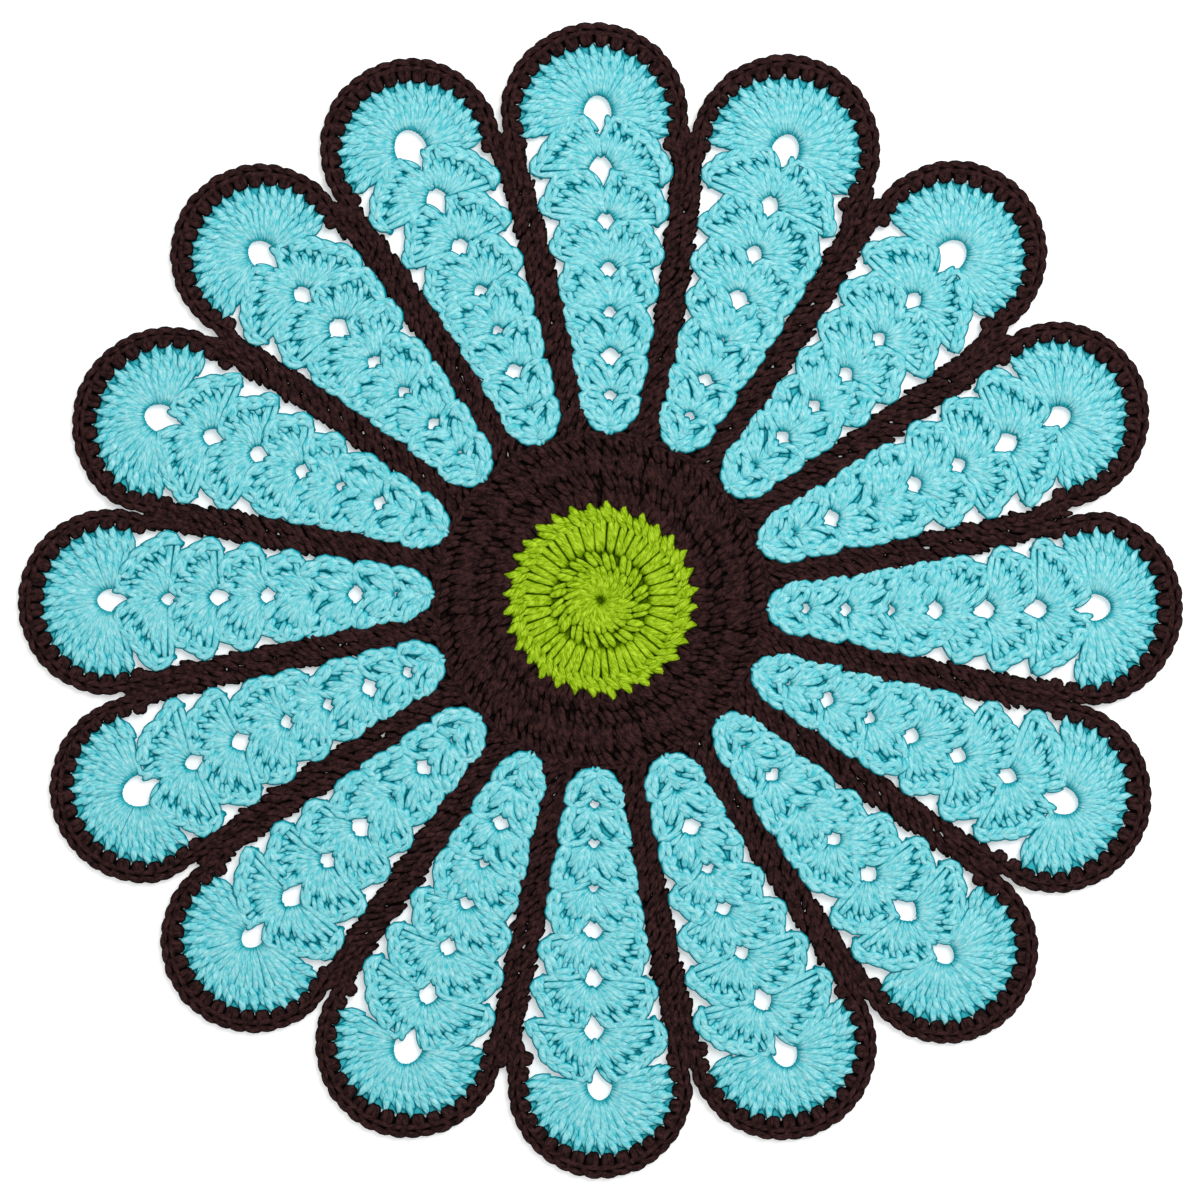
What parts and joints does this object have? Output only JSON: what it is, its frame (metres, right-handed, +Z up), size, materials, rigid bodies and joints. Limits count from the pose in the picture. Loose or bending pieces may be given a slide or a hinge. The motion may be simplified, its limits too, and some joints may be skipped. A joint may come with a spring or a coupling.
{
  "type": "crochet placemat",
  "caption": "Round flower-shaped table mat in cotton crochet: a lime medallion in brown rounds, and petals of aqua shells, each edged in brown, with open gaps.",
  "frame": {"origin": "middle of the flower's bounding box, on the underside", "axes": "+Z up out of the right side; +Y towards the petal shown at the top; petals counted anticlockwise from the one on +X"},
  "size_m": [0.38, 0.377, 0.0041],
  "materials": {
    "lime_yarn": "matt lime green cotton yarn",
    "brown_yarn": "matt dark brown cotton yarn",
    "aqua_yarn": "matt aqua cotton yarn with a faint sheen"
  },
  "bodies": {
    "root": {"medallion": "lime_yarn", "brown_rounds": "brown_yarn", "petal_00": "aqua_yarn", "petal_01": "aqua_yarn", "petal_02": "aqua_yarn", "petal_03": "aqua_yarn", "petal_04": "aqua_yarn", "petal_05": "aqua_yarn", "petal_06": "aqua_yarn", "petal_07": "aqua_yarn", "petal_08": "aqua_yarn", "petal_09": "aqua_yarn", "petal_10": "aqua_yarn", "petal_11": "aqua_yarn", "petal_12": "aqua_yarn", "petal_13": "aqua_yarn", "petal_14": "aqua_yarn", "petal_15": "aqua_yarn", "band_00": "brown_yarn", "band_01": "brown_yarn", "band_02": "brown_yarn", "band_03": "brown_yarn", "band_04": "brown_yarn", "band_05": "brown_yarn", "band_06": "brown_yarn", "band_07": "brown_yarn", "band_08": "brown_yarn", "band_09": "brown_yarn", "band_10": "brown_yarn", "band_11": "brown_yarn", "band_12": "brown_yarn", "band_13": "brown_yarn", "band_14": "brown_yarn", "band_15": "brown_yarn"}
  },
  "joints": []
}
